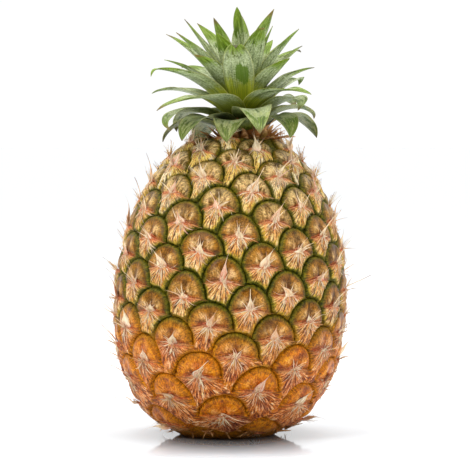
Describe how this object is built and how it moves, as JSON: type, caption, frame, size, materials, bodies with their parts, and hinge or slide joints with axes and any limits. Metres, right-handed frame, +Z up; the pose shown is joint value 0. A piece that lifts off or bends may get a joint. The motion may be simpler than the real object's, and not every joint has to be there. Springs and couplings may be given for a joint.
{
  "type": "pineapple",
  "caption": "Whole ripe pineapple with a short leafy crown, standing upright on its flat stalk scar; scaly spiral skin with papery bract tips.",
  "frame": {"origin": "middle of the flat stalk scar that the fruit stands on", "axes": "+Z up through the fruit to the crown, -Y the front that the reference view shows, +X to the right in that view"},
  "size_m": [0.1441, 0.1401, 0.2456],
  "materials": {
    "fruit_skin": "satin, scaly: olive and golden brown domes with dark green grooves and dry salmon bracts",
    "crown_stem": "matt, fibrous, yellow-green",
    "crown_leaf": "satin wax bloom over grey-green, yellow-green at the base, brown dry tips",
    "bract_tip": "dry, papery, cream to salmon"
  },
  "bodies": {
    "root": {"fruit": "fruit_skin", "crown_stem": "crown_stem", "crown_leaf_01": "crown_leaf", "crown_leaf_02": "crown_leaf", "crown_leaf_03": "crown_leaf", "crown_leaf_04": "crown_leaf", "crown_leaf_05": "crown_leaf", "crown_leaf_06": "crown_leaf", "crown_leaf_07": "crown_leaf", "crown_leaf_08": "crown_leaf", "crown_leaf_09": "crown_leaf", "crown_leaf_10": "crown_leaf", "crown_leaf_11": "crown_leaf", "crown_leaf_12": "crown_leaf", "crown_leaf_13": "crown_leaf", "crown_leaf_14": "crown_leaf", "crown_leaf_15": "crown_leaf", "crown_leaf_16": "crown_leaf", "crown_leaf_17": "crown_leaf", "crown_leaf_18": "crown_leaf", "crown_leaf_19": "crown_leaf", "crown_leaf_20": "crown_leaf", "crown_leaf_21": "crown_leaf", "crown_leaf_22": "crown_leaf", "crown_leaf_23": "crown_leaf", "crown_leaf_24": "crown_leaf", "crown_leaf_25": "crown_leaf", "crown_leaf_26": "crown_leaf", "crown_leaf_27": "crown_leaf", "crown_leaf_28": "crown_leaf", "crown_leaf_29": "crown_leaf", "crown_leaf_30": "crown_leaf", "crown_leaf_31": "crown_leaf", "crown_leaf_32": "crown_leaf", "crown_leaf_33": "crown_leaf", "crown_leaf_34": "crown_leaf", "crown_leaf_35": "crown_leaf", "crown_leaf_36": "crown_leaf", "crown_leaf_37": "crown_leaf", "crown_leaf_38": "crown_leaf", "crown_leaf_39": "crown_leaf", "crown_leaf_40": "crown_leaf", "crown_leaf_41": "crown_leaf", "crown_leaf_42": "crown_leaf", "crown_leaf_43": "crown_leaf", "crown_leaf_44": "crown_leaf"}
  },
  "joints": []
}
